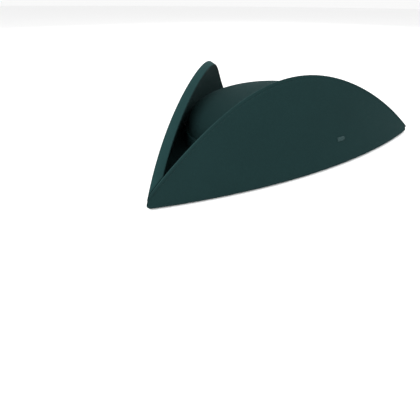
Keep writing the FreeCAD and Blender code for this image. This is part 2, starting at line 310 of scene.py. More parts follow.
@dataclass(frozen=True)
class Satin(Finish):
    """Lining satin: long floats that catch the light along its folds."""

    def dress(self, tree: Tree, surface: bpy.types.Node) -> None:
        """Add floats, streaks and creases."""
        place = self.place(tree)
        stretched = tree.out("ShaderNodeMapping", 0, None,
                             {"Vector": place, "Scale": (900.0, 900.0, 60.0)})
        floats = self.noise(tree, stretched, 1.0, 2.0)
        clouds = self.noise(tree, place, 30.0, 3.0)
        tone = floats * 0.6 + clouds * 0.5
        colour = self.mix(tree, tone.clamp(), self.shade(0.75), self.shade(1.3))
        tree.feed(surface.inputs["Base Color"], colour)
        tree.feed(surface.inputs["Roughness"], (self.roughness + (floats - 0.5) * 0.2).clamp())
        surface.inputs["Anisotropic"].default_value = 0.4
        surface.inputs["Sheen Weight"].default_value = 0.2
        self.bump(tree, surface, floats * 0.3 + clouds, 0.15 * MM)


@dataclass(frozen=True)
class Leather(Finish):
    """Waxed sheepskin: fine cells, darker creases and a dull polish."""

    def dress(self, tree: Tree, surface: bpy.types.Node) -> None:
        """Add grain and handling marks."""
        place = self.place(tree)
        cells = tree.out("ShaderNodeTexVoronoi", "Distance", {"feature": "DISTANCE_TO_EDGE"},
                         {"Vector": place, "Scale": 900.0})
        grain = (cells * 5.0).clamp()
        clouds = self.noise(tree, place, 45.0, 4.0)
        tone = grain * 0.35 + clouds * 0.75
        colour = self.mix(tree, tone.clamp(), self.shade(0.6), self.shade(1.35))
        tree.feed(surface.inputs["Base Color"], colour)
        tree.feed(surface.inputs["Roughness"], (self.roughness + (clouds - 0.5) * 0.3).clamp())
        surface.inputs["Coat Weight"].default_value = 0.08
        self.bump(tree, surface, grain + clouds * 0.5, 0.12 * MM)


@dataclass(frozen=True)
class Metal(Finish):
    """Plated or rolled metal with fine scratches and dull patches."""

    def dress(self, tree: Tree, surface: bpy.types.Node) -> None:
        """Add scratches and tarnish."""
        place = self.place(tree)
        scratches = self.noise(tree, place, 2500.0, 2.0)
        patches = self.noise(tree, place, 260.0, 3.0)
        tone = scratches * 0.4 + patches * 0.6
        colour = self.mix(tree, tone.clamp(), self.shade(0.7), self.shade(1.15))
        tree.feed(surface.inputs["Base Color"], colour)
        surface.inputs["Metallic"].default_value = 1.0
        tree.feed(surface.inputs["Roughness"], (self.roughness + (patches - 0.5) * 0.35).clamp())
        self.bump(tree, surface, scratches, 0.02 * MM)


@dataclass(frozen=True)
class Thread(Finish):
    """Twisted sewing thread."""

    def dress(self, tree: Tree, surface: bpy.types.Node) -> None:
        """Add the twist of the strands."""
        place = self.place(tree)
        strands = tree.out("ShaderNodeTexWave", "Fac", DIAGONAL_BANDS,
                           {"Vector": place, "Scale": 900.0, "Distortion": 2.0})
        colour = self.mix(tree, strands, self.shade(0.75), self.shade(1.25))
        tree.feed(surface.inputs["Base Color"], colour)
        surface.inputs["Specular IOR Level"].default_value = 0.15
        self.bump(tree, surface, strands, 0.05 * MM)


@dataclass(frozen=True)
class Board(Finish):
    """Buckram board: a coarse stiff weave."""

    def dress(self, tree: Tree, surface: bpy.types.Node) -> None:
        """Add the open weave."""
        place = self.place(tree)
        weave = tree.out("ShaderNodeTexChecker", "Fac", None, {"Vector": place, "Scale": 900.0})
        clouds = self.noise(tree, place, 60.0)
        tone = weave * 0.5 + clouds * 0.5
        colour = self.mix(tree, tone.clamp(), self.shade(0.8), self.shade(1.15))
        tree.feed(surface.inputs["Base Color"], colour)
        self.bump(tree, surface, weave, 0.1 * MM)


@dataclass(frozen=True)
class Paper(Finish):
    """Seamless studio paper."""

    def dress(self, tree: Tree, surface: bpy.types.Node) -> None:
        """Add the faintest tooth."""
        tooth = self.noise(tree, self.place(tree), 180.0)
        colour = self.mix(tree, tooth, self.shade(0.99), self.shade(1.0))
        tree.feed(surface.inputs["Base Color"], colour)


class Dress(Enum):
    """Every finish of the hat."""

    BODY = Felt("wool felt", (0.0064, 0.0192, 0.0194), 0.88)
    # its edge tone of 2.6 paints the binding's top face much lighter: a painted highlight where
    # light falls on the rim, with a little wear
    BINDING = Felt("edge binding", (0.0068, 0.0205, 0.0207), 0.86, 2.6)
    RIBBON = Ribbon("corded ribbon", (0.0095, 0.034, 0.035), 0.6)
    SATIN = Satin("lining satin", (0.02, 0.06, 0.063), 0.34)
    LEATHER = Leather("sweatband leather", (0.17, 0.085, 0.04), 0.5)
    REED = Leather("reed cover", (0.1, 0.05, 0.025), 0.55)
    CORD = Satin("seam cord satin", (0.03, 0.085, 0.09), 0.4)
    LINEN = Thread("linen thread", (0.42, 0.36, 0.26), 0.6)
    NICKEL = Metal("blackened nickel", (0.085, 0.095, 0.095), 0.4)
    STEEL = Metal("spring steel", (0.4, 0.41, 0.43), 0.35)
    THREAD = Thread("sewing thread", (0.009, 0.024, 0.0245), 0.7)
    BAR_THREAD = Thread("bar tack thread", (0.019, 0.042, 0.043), 0.6)
    BOARD = Board("buckram board", (0.36, 0.33, 0.27), 0.9)
    PAPER = Paper("studio paper", (0.93, 0.93, 0.93), 0.95)


# ---------------------------------------------------------------------------- mesh tools
def mesh_from_rows(name: str, rows: Rows, finish: Dress, around: bool, closed: bool,
                   uv: tuple[np.ndarray, np.ndarray] | None = None, wear_and_highlight: np.ndarray | None = None,
                   caps: bool = False, flip: bool = False) -> bpy.types.Object:
    """Make a smooth mesh from rows of points.

    Args:
        name: the object's name.
        rows: equal rows of points, in metres.
        finish: its material.
        around: whether each row closes on itself.
        closed: whether the last row joins the first.
        uv: lengths in metres along the rows' order and along each row.
        wear_and_highlight: the "wear_and_highlight" attribute, one value for each point; it paints
            the colour lighter, partly for wear and partly as a painted highlight on the lit rim.
        caps: whether the first and last rows are filled.
        flip: whether faces wind the other way.

    Returns:
        The new object.
    """
    count, width = len(rows), len(rows[0])
    points = np.array(rows, float).reshape(-1, 3)
    mesh = bpy.data.meshes.new(name)
    bm = bmesh.new()
    layer = bm.loops.layers.uv.new("metres")
    attribute = bm.verts.layers.float.new("wear_and_highlight")
    verts = [bm.verts.new(point) for point in points]
    column_ends = width if around else width - 1
    row_ends = count if closed else count - 1
    for row in range(row_ends):
        for column in range(column_ends):
            following = (row + 1) % count
            beside = (column + 1) % width
            ids = [row * width + column, row * width + beside,
                   following * width + beside, following * width + column]
            if flip:
                ids.reverse()
            face = bm.faces.new([verts[k] for k in ids])
            if uv is not None:
                for loop, k in zip(face.loops, ids):
                    at_row = row + (k // width != row)
                    at_column = column + (k % width != column)
                    loop[layer].uv = (uv[0][at_row], uv[1][at_column])
    if caps:
        first = verts[:width]
        last = verts[-width:]
        bm.faces.new(first if flip else first[::-1])
        bm.faces.new(last[::-1] if flip else last)
    if wear_and_highlight is not None:
        for vert, value in zip(verts, wear_and_highlight):
            vert[attribute] = value
    bmesh.ops.remove_doubles(bm, verts=bm.verts, dist=1e-6)
    for face in bm.faces:
        face.smooth = True
    bmesh.ops.triangulate(bm, faces=[face for face in bm.faces if len(face.verts) > 4])
    bm.to_mesh(mesh)
    bm.free()
    return show(name, mesh, finish)


def show(name: str, mesh: bpy.types.Mesh, finish: Dress) -> bpy.types.Object:
    """Put a mesh in the scene in a finish."""
    made = bpy.data.objects.new(name, mesh)
    bpy.context.scene.collection.objects.link(made)
    mesh.materials.clear()
    mesh.materials.append(finish.value.material())
    return made


def swell(points: np.ndarray, depth: float) -> np.ndarray:
    """Return how far hand-shaped felt stands out at points, from slow waves of a depth."""
    x, y, z = (points[..., axis] for axis in range(3))
    waves = np.sin(31 * x + 17 * y + 0.7) + np.sin(43 * y - 29 * z + 2.1)
    waves += np.sin(57 * z + 23 * x - 1.3)
    return waves / 3 * depth


def turn(lean: np.ndarray | float) -> tuple[np.ndarray, np.ndarray]:
    """Return the cosine and sine of a lean."""
    return np.cos(lean), np.sin(lean)


# ------------------------------------------------------------------------------ the plan
@dataclass(frozen=True)
class Plan:
    """Sizes that the crown, the floor and the flaps share."""

    front_reach: float = 187.0 * MM
    rear_reach: float = 106.0 * MM
    rear_half_width: float = 155.5 * MM
    brim: float = 8.0 * MM
    fold_gap: float = 0.5 * MM
    mitre_gap: float = 0.8 * MM

    def corners(self) -> list[np.ndarray]:
        """Return the front point and the two rear points, in turn."""
        return [np.array([0.0, -self.front_reach]),
                np.array([self.rear_half_width, self.rear_reach]),
                np.array([-self.rear_half_width, self.rear_reach])]

    def mitre_normals(self) -> list[np.ndarray]:
        """Return each corner's mitre normal, which points to the flap that starts there."""
        corners = self.corners()
        normals = []
        for index, corner in enumerate(corners):
            ahead = corners[(index + 1) % 3] - corner
            behind = corners[index - 1] - corner
            split = ahead / np.linalg.norm(ahead) + behind / np.linalg.norm(behind)
            normal = np.array([-split[1], split[0]]) / np.linalg.norm(split)
            normals.append(normal if normal @ ahead > 0 else -normal)
        return normals


@dataclass(frozen=True)
class Crease:
    """The curved crease of one flap, and the curled section that rises from it."""

    plan: Plan
    index: int
    bulge: float
    rise: float
    lean_in: float
    fullness: tuple[float, float] = (1.02, 1.07)
    tip_height: float = 9.0 * MM
    curl: float = math.radians(9.0)

    @property
    def first(self) -> np.ndarray:
        """The corner where the crease starts."""
        return self.plan.corners()[self.index]

    @property
    def second(self) -> np.ndarray:
        """The corner where the crease ends."""
        return self.plan.corners()[(self.index + 1) % 3]

    @property
    def along(self) -> np.ndarray:
        """The unit vector from the first corner to the second."""
        chord = self.second - self.first
        return chord / np.linalg.norm(chord)

    @property
    def outward(self) -> np.ndarray:
        """The unit vector away from the head, square to the chord."""
        return np.array([self.along[1], -self.along[0]])

    @property
    def radius(self) -> float:
        """The radius of the crease's arc in the plan."""
        half = np.linalg.norm(self.second - self.first) / 2
        return (half ** 2 + self.bulge ** 2) / (2 * self.bulge)

    @property
    def half_angle(self) -> float:
        """Half the angle that the crease's arc spans."""
        return math.asin(np.linalg.norm(self.second - self.first) / 2 / self.radius)

    @property
    def centre(self) -> np.ndarray:
        """The centre of the crease's arc in the plan."""
        return (self.first + self.second) / 2 - self.outward * (self.radius - self.bulge)

    @property
    def slant(self) -> float:
        """The straight length of the section, from the foot to the peak."""
        return math.hypot(self.lean_in, self.rise - self.plan.brim / 2)

    @property
    def start_lean(self) -> float:
        """The lean of the section where it leaves the foot."""
        return math.atan2(self.lean_in, self.rise - self.plan.brim / 2) - self.curl

    @property
    def curl_radius(self) -> float:
        """The radius that the section curls with."""
        return self.slant / (2 * math.sin(self.curl))

    def edge(self, angle: np.ndarray) -> np.ndarray:
        """Return how far up the flap its free edge lies at angles along the crease."""
        share = np.clip((angle / self.half_angle + 1) / 2, 0, 1)
        start, end = self.fullness
        peak = start / (start + end)
        scale = peak ** start * (1 - peak) ** end
        low = self.tip_height - self.plan.brim / 2
        return low + (self.slant - low) * share ** start * (1 - share) ** end / scale

    def section(self, climb: np.ndarray, depth: np.ndarray) -> tuple[np.ndarray, np.ndarray]:
        """Return the plan radius and the height of points of the section.

        Args:
            climb: the distance up the flap from the foot's centre.
            depth: the distance in from the middle of the felt.

        Returns:
            The radius from the arc's centre and the height.
        """
        foot = self.radius - self.plan.brim / 2
        cosine, sine = turn(self.start_lean)
        away, up = turn(self.start_lean + climb / self.curl_radius)
        reach = self.curl_radius - depth
        return (foot - self.curl_radius * cosine + reach * away,
                self.plan.brim / 2 - self.curl_radius * sine + reach * up)

    def place(self, angle: np.ndarray, radius: np.ndarray, height: np.ndarray) -> np.ndarray:
        """Return points of the hat at an angle along the crease, a plan radius and a height."""
        cosine, sine = turn(angle)
        plan = self.centre + radius[..., None] * (cosine[..., None] * self.outward
                                                  + sine[..., None] * self.along)
        return np.concatenate([plan, height[..., None]], axis=-1)

    def mitre(self, radius: np.ndarray, end: int) -> np.ndarray:
        """Return the angle where circles of the given radii meet the mitre plane at one end.

        Args:
            radius: plan radii.
            end: 0 for the first corner and 1 for the second.

        Returns:
            The angles.
        """
        corner = (self.first, self.second)[end]
        normal = self.plan.mitre_normals()[(self.index + end) % 3] * (1 - 2 * end)
        square = normal @ self.outward
        level = normal @ self.along
        gap = self.plan.mitre_gap / 2 - (self.centre - corner) @ normal
        swing = np.arccos(np.clip(gap / (radius * math.hypot(square, level)), -1, 1))
        middle = math.atan2(level, square)
        return middle - swing if end == 0 else middle + swing


@dataclass
class Flap:
    """One turned-up flap: its felt, its edge binding, its stitches and its fastenings."""

    name: str
    crease: Crease
    stations: int = 150
    rim_round: float = 1.0 * MM
    binding_depth: float = 3.0 * MM
    binding_proud: float = 0.3 * MM
    swell_depth: float = 0.35 * MM
    bend_low: float = 8.0 * MM
    bend_high: float = 22.0 * MM
    tack_station: float | None = None
    tack_height: float = 23.0 * MM
    tack_length: float = 10.0 * MM
    tack_width: float = 4.0 * MM
    tack_thickness: float = 1.2 * MM
    tack_strands: int = 15
    stud_station: float = 0.5
    stud_climb: float = 14.0 * MM
    stud_gap: float = 0.1 * MM
    stud_radius: float = 4.5 * MM
    stud_flange: float = 0.8 * MM
    post_radius: float = 1.5 * MM
    post_length: float = 1.8 * MM
    stud_edge: float = 0.2 * MM
    stud_segments: int = 40
    stud_bend_span: float = 400.0 * MM

    @property
    def body(self) -> str:
        """The name of the frame's body that this flap is."""
        return self.name + "_flap"

    def ring(self, angle: np.ndarray, section_of: Section, shares: np.ndarray) -> np.ndarray:
        """Return a sheet of points with its ends on the mitre planes.

        Args:
            angle: angles to start the search from, one for each point of the section.
            section_of: gives plan radii and heights from the points' angles.
            shares: the stations, from 0 at the first mitre to 1 at the second.

        Returns:
            Points, one row for each station.
        """
        ends = []
        for end in (0, 1):
            guess = angle + (2 * end - 1) * self.crease.half_angle
            for _ in range(MITRE_STEPS):
                radius, _height = section_of(guess)
                guess = self.crease.mitre(radius, end)
            ends.append(guess)
        rows = []
        for share in shares:
            at = ends[0] * (1 - share) + ends[1] * share
            radius, height = section_of(at)
            rows.append(self.crease.place(at, radius, height))
        return np.array(rows)

    def shares(self, margin: float = 0.0) -> np.ndarray:
        """Return station shares, closer together near the points of the hat."""
        even = np.linspace(0, 1, self.stations)
        eased = even - np.sin(2 * np.pi * even) / (2 * np.pi) * 0.45
        return margin + eased * (1 - 2 * margin)

    def felt_section(self, angle: np.ndarray) -> tuple[np.ndarray, np.ndarray]:
        """Return the outline of the felt at angles along the crease.

        Args:
            angle: one angle for each point of the outline.

        Returns:
            Plan radii and heights.
        """
        crease = self.crease
        brim = crease.plan.brim
        half = brim / 2
        inner = crease.radius - brim - crease.plan.fold_gap + 0.2 * MM
        edge = crease.edge(angle)
        kind, first, second = self.outline_plan()
        climb = np.zeros_like(angle)
        depth = np.zeros_like(angle)
        side = kind == 1
        climb[side] = first[side] * (edge[side] - self.rim_round)
        depth[side] = second[side] * half
        rim = kind == 2
        climb[rim] = edge[rim] - self.rim_round + self.rim_round * np.sin(first[rim])
        depth[rim] = second[rim] * (half - self.rim_round * (1 - np.cos(first[rim])))
        radius, height = crease.section(climb, depth)
        foot = kind == 0
        radius[foot] = crease.radius - half + half * np.cos(first[foot])
        height[foot] = half + half * np.sin(first[foot])
        floor = kind == 3
        radius[floor] = inner
        height[floor] = first[floor] * brim
        return radius, height

    @staticmethod
    def outline_plan() -> tuple[np.ndarray, np.ndarray, np.ndarray]:
        """Return the kinds and the two parameters of the outline's points.

        Returns:
            Kinds (0 foot, 1 side, 2 rim, 3 where it meets the floor), then angles or shares of
            the height, then the side that a point is on, -1 outside and 1 inside.
        """
        plan = [(3, 0.03, 0.0)]
        plan += [(0, angle, 0.0) for angle in np.radians(np.linspace(-90, 0, 8))]
        plan += [(1, share, -1.0) for share in np.linspace(0.03, 1.0, 44)]
        plan += [(2, angle, -1.0) for angle in np.radians(np.linspace(18, 90, 5))]
        plan += [(2, angle, 1.0) for angle in np.radians(np.linspace(90, 18, 5))]
        plan += [(1, share, 1.0) for share in np.linspace(1.0, 0.03, 44)]
        plan += [(3, 1.0, 0.0), (3, 0.6, 0.0), (3, 0.3, 0.0)]
        kind, first, second = np.array(plan).T
        return kind.astype(int), first, second

    def felt(self) -> bpy.types.Object:
        """Return the felt of the flap as one closed piece."""
        kind, first, _second = self.outline_plan()
        rows = self.ring(np.zeros(len(kind)), self.felt_section, self.shares())
        middle = self.crease.centre
        away = rows[..., :2] - middle
        away /= np.linalg.norm(away, axis=-1, keepdims=True)
        soft = np.where(kind == 1, np.sin(np.pi * np.clip(first, 0, 1)) ** 0.5, 0.0)
        rows[..., :2] += away * (swell(rows, self.swell_depth) * soft)[..., None]
        rows = self.round_ends(rows)
        # rim and upper sides painted lighter: partly wear, partly a painted highlight where light
        # falls
        wear_and_highlight = np.where(kind == 2, 0.9, 0.0)
        wear_and_highlight += np.where(kind == 1, np.clip(first * 12 - 11.2, 0, 0.5), 0.0)
        wear_and_highlight = np.tile(wear_and_highlight, len(rows))
        return mesh_from_rows(self.name + "_felt", list(rows), Dress.BODY, True, False,
                              None, wear_and_highlight, True, True)

    @staticmethod
    def round_ends(rows: np.ndarray) -> np.ndarray:
        """Return rows with the first and last ones drawn in, so that the ends are soft."""
        rows = rows.copy()
        for near, inner in ((0, 1), (-1, -2)):
            middle = rows[near].mean(axis=0)
            rows[inner] = rows[near] * 0.35 + rows[inner] * 0.65
            rows[near] = middle + (rows[near] - middle) * 0.94
        return rows

    def binding_section(self, angle: np.ndarray) -> tuple[np.ndarray, np.ndarray]:
        """Return the outline of the edge binding at angles along the crease."""
        inset, depth = self.binding_plan()
        return self.crease.section(self.crease.edge(angle) - inset, depth)

    def binding_plan(self) -> tuple[np.ndarray, np.ndarray]:
        """Return the outline of the binding's section.

        Returns:
            Distances below the free edge, and depths through the felt.
        """
        half = self.crease.plan.brim / 2
        proud = self.binding_proud
        bend = self.rim_round + proud
        core = self.rim_round - 0.4 * MM
        points = [(self.binding_depth, -half + 0.4 * MM), (self.binding_depth, -half - proud * 0.5),
                  (self.binding_depth - 0.4 * MM, -half - proud)]
        corner = np.radians(np.linspace(0, 90, 7))
        points += [(self.rim_round - bend * math.sin(a), -half - proud + bend * (1 - math.cos(a)))
                   for a in corner]
        points += [(self.rim_round - bend * math.sin(a), half + proud - bend * (1 - math.cos(a)))
                   for a in corner[::-1]]
        points += [(self.binding_depth - 0.4 * MM, half + proud),
                   (self.binding_depth, half + proud * 0.5),
                   (self.binding_depth, half - 0.4 * MM)]
        points += [(self.rim_round - core * math.sin(a), half - 0.5 * MM - core * (1 - math.cos(a)))
                   for a in corner[::2]]
        points += [(self.rim_round - core * math.sin(a),
                    -half + 0.5 * MM + core * (1 - math.cos(a)))
                   for a in corner[::-2]]
        inset, depth = np.array(points).T
        return inset, depth

    def binding(self) -> bpy.types.Object:
        """Return the binding that wraps the free edge."""
        inset, _depth = self.binding_plan()
        rows = self.ring(np.zeros(len(inset)), self.binding_section, self.shares())
        # the binding's top face painted lighter: a painted highlight where light falls on the rim,
        # with some wear
        wear_and_highlight = np.tile(np.clip(0.35 - inset / self.rim_round, 0, 1), len(rows))
        return mesh_from_rows(self.name + "_binding", list(rows), Dress.BINDING, True, False,
                              None, wear_and_highlight, True, True)

    def seam_line(self, inset: float, depth: float) -> np.ndarray:
        """Return a line of points along the flap, a distance below its free edge."""
        def section(angle: np.ndarray) -> tuple[np.ndarray, np.ndarray]:
            """Return the line's plan radius and height."""
            return self.crease.section(self.crease.edge(angle) - inset, depth + 0 * angle)
        return self.ring(np.zeros(1), section, self.shares(0.02))[:, 0]

    def build(self) -> None:
        """Make the flap's pieces and dress them; only the bar tack is tied to the frame."""
        half = self.crease.plan.brim / 2
        felt = self.felt()
        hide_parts(*(self.body + part for part in ("_outer_felt", "_inner_felt", "_core")))
        binding = self.binding()
        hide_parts(self.body + "_edge_binding")
        stitches = []
        for side, depth in (("outer", -half - 0.05 * MM), ("inner", half + 0.05 * MM)):
            line = self.seam_line(self.binding_depth + 1.0 * MM, depth)
            thread = Stitching(f"{self.name}_{side}_stitches", 4.6 * MM, 3.0 * MM, 0.3 * MM)
            sewn = thread.sew([line], False)
            stitches.append(sewn)
        foot = (*((self.crease.first + self.crease.second) / 2), self.bend_low)
        for piece in (felt, binding, *stitches):
            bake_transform(piece)
            log.info("%s bends from the crown to %s", piece.name, self.body)
        stud, level = self.press_stud()
        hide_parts(self.name + "_snap_stud")
        turned = (level - self.bend_low) / (self.bend_high - self.bend_low)
        level - turned * self.stud_bend_span
        level + (1 - turned) * self.stud_bend_span
        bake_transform(stud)
        log.info("%s turns with the felt behind it", stud.name)
        if self.tack_station is not None:
            tack = self.bar_tack()
            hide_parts(self.body + "_bar_tack")
            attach(tack, self.body)
            log.info("%s rides on %s", tack.name, self.body)

    def press_stud(self) -> tuple[bpy.types.Object, float]:
        """Make the press stud on the flap's inner face.

        Returns:
            The stud and the height of its seat.
        """
        crease = self.crease
        face = crease.plan.brim / 2
        angle = np.array([crease.half_angle * (2 * self.stud_station - 1)])
        near, far = (crease.place(angle, *crease.section(np.array([self.stud_climb]), depth))[0]
                     for depth in (face, face + 1.0 * MM))
        axis = (far - near) / np.linalg.norm(far - near)
        seat = near + axis * self.stud_gap
        across = np.cross(axis, (0.0, 0.0, 1.0))
        across /= np.linalg.norm(across)
        above = np.cross(across, axis)
        wide, flange = self.stud_radius, self.stud_flange
        post, soft = self.post_radius, self.stud_edge
        top = flange + self.post_length
        outline = [(wide - soft, 0.0), (wide, 0.75 * soft), (wide, flange - soft),
                   (wide - soft, flange), (post + 1.25 * soft, flange), (post, flange + soft),
                   (post, top - 1.5 * soft), (post - 1.5 * soft, top)]
        cosine, sine = turn(np.linspace(0, 2 * np.pi, self.stud_segments, endpoint=False))
        ring = cosine[:, None] * across + sine[:, None] * above
        rows = [seat + rise * axis + radius * ring for radius, rise in outline]
        stud = mesh_from_rows(self.name + "_press_stud", rows, Dress.NICKEL, True, False, caps=True)
        return stud, float(seat[2])

    def bar_tack(self) -> bpy.types.Object:
        """Return the bar tack: strands laid side by side over a core."""
        crease = self.crease
        half = crease.plan.brim / 2
        angle = crease.half_angle * (2 * self.tack_station - 1)
        reach = self.tack_length / 2
        strands = []
        for step in range(self.tack_strands):
            offset = (step / (self.tack_strands - 1) - 0.5) * (self.tack_length - 0.5 * MM)
            wide = self.tack_width / 2 * (1 - max(0.0, abs(offset) / reach - 0.82) * 2.0)
            slope = 0.12 * MM * math.sin(step * 2.3)
            sweep = np.linspace(-1, 1, 13)
            climb = self.tack_height + sweep * wide + slope
            lift = half + 0.15 * MM + (1 - np.abs(sweep) ** 2.2) * (self.tack_thickness - 0.45 * MM)
            radius, height = crease.section(climb, -lift)
            turn_by = angle + (offset + slope * sweep) / crease.radius
            strands.append(crease.place(turn_by, radius, height))
        return Stitching(self.body + "_tack", 0.0, 0.0, 0.36 * MM).lay(strands, Dress.BAR_THREAD)


@dataclass
class Stitching:
    """Sewing thread: running stitches along a line, or whole strands."""

    name: str
    spacing: float
    length: float
    thickness: float

    def sew(self, lines: Iterable[np.ndarray], closed: bool,
            finish: Dress = Dress.THREAD) -> bpy.types.Object:
        """Return running stitches along lines, made by a node tree.

        Args:
            lines: polylines in metres.
            closed: whether each line is a loop.
            finish: the thread's finish.

        Returns:
            A plain mesh of all the stitches.
        """
        return self._run(lines, closed, finish, self._running_tree())

    def lay(self, strands: Iterable[np.ndarray], finish: Dress,
            closed: bool = False) -> bpy.types.Object:
        """Return whole strands along lines, made by a node tree."""
        return self._run(strands, closed, finish, self._strand_tree())

    def _run(self, lines: Iterable[np.ndarray], closed: bool, finish: Dress,
             group: bpy.types.NodeTree) -> bpy.types.Object:
        """Apply a node tree to curves and return the resulting plain mesh."""
        curve = bpy.data.curves.new(self.name + " line", "CURVE")
        curve.dimensions = "3D"
        for line in lines:
            spline = curve.splines.new("POLY")
            spline.points.add(len(line) - 1)
            spline.points.foreach_set("co", np.column_stack([line, np.ones(len(line))]).ravel())
            spline.use_cyclic_u = closed
        source = bpy.data.objects.new(self.name + " line", curve)
        bpy.context.scene.collection.objects.link(source)
        modifier = source.modifiers.new("sewing", "NODES")
        modifier.node_group = group
        values = {"Spacing": self.spacing, "Length": self.length, "Thickness": self.thickness,
                  "Finish": finish.value.material()}
        for item in group.interface.items_tree:
            if item.name in values and item.in_out == "INPUT":
                modifier[item.identifier] = values[item.name]
        graph = bpy.context.evaluated_depsgraph_get()
        mesh = bpy.data.meshes.new_from_object(source.evaluated_get(graph))
        source.modifiers.remove(modifier)
        bpy.data.objects.remove(source)
        mesh.name = self.name
        for polygon in mesh.polygons:
            polygon.use_smooth = True
        return show(self.name, mesh, finish)

    @staticmethod
    def _group(name: str) -> tuple[bpy.types.NodeTree, Tree, bpy.types.Node]:
        """Start a geometry tree with its named inputs."""
        group = bpy.data.node_groups.new(name, "GeometryNodeTree")
        group.interface.new_socket("Geometry", in_out="INPUT", socket_type="NodeSocketGeometry")
        for label in ("Spacing", "Length", "Thickness"):
            group.interface.new_socket(label, in_out="INPUT", socket_type="NodeSocketFloat")
        group.interface.new_socket("Finish", in_out="INPUT", socket_type="NodeSocketMaterial")
        group.interface.new_socket("Geometry", in_out="OUTPUT", socket_type="NodeSocketGeometry")
        tree = Tree(group)
        return group, tree, tree.node("NodeGroupInput")

    @staticmethod
    def _end(tree: Tree, entry: bpy.types.Node, geometry: object) -> None:
        """Finish a geometry tree with Realize Instances and Set Material."""
        real = tree.node("GeometryNodeRealizeInstances", None, {0: geometry})
        dressed = tree.node("GeometryNodeSetMaterial", None,
                            {"Geometry": real.outputs[0], "Material": entry.outputs["Finish"]})
        tree.node("NodeGroupOutput", None, {0: dressed.outputs[0]})

    def _running_tree(self) -> bpy.types.NodeTree:
        """Return the tree that puts one stitch at each step along a line."""
        group, tree, entry = self._group("running stitches")
        steps = tree.node("GeometryNodeResampleCurve", {"mode": "LENGTH"},
                          {"Curve": entry.outputs["Geometry"], "Length": entry.outputs["Spacing"]})
        ball = tree.node("GeometryNodeMeshUVSphere", None,
                         {"Segments": 8, "Rings": 6, "Radius": 0.5})
        size = tree.node("ShaderNodeCombineXYZ", None,
                         {0: entry.outputs["Thickness"], 1: entry.outputs["Thickness"],
                          2: entry.outputs["Length"]})
        stitch = tree.node("GeometryNodeTransform", None,
                           {"Geometry": ball.outputs[0], "Scale": size.outputs[0]})
        tangent = tree.node("GeometryNodeInputTangent")
        aim = tree.node("FunctionNodeAlignEulerToVector", {"axis": "Z"},
                        {"Vector": tangent.outputs[0]})
        placed = tree.node("GeometryNodeInstanceOnPoints", None,
                           {"Points": steps.outputs[0], "Instance": stitch.outputs[0],
                            "Rotation": aim.outputs[0]})
        self._end(tree, entry, placed.outputs[0])
        return group

    def _strand_tree(self) -> bpy.types.NodeTree:
        """Return the tree that turns every line into a round strand."""
        group, tree, entry = self._group("thread strands")
        ring = tree.node("GeometryNodeCurvePrimitiveCircle", {"mode": "RADIUS"},
                         {"Resolution": 8, "Radius": entry.outputs["Thickness"]})
        tube = tree.node("GeometryNodeCurveToMesh", None,
                         {"Curve": entry.outputs["Geometry"], "Profile Curve": ring.outputs[0],
                          "Fill Caps": True})
        self._end(tree, entry, tube.outputs[0])
        return group


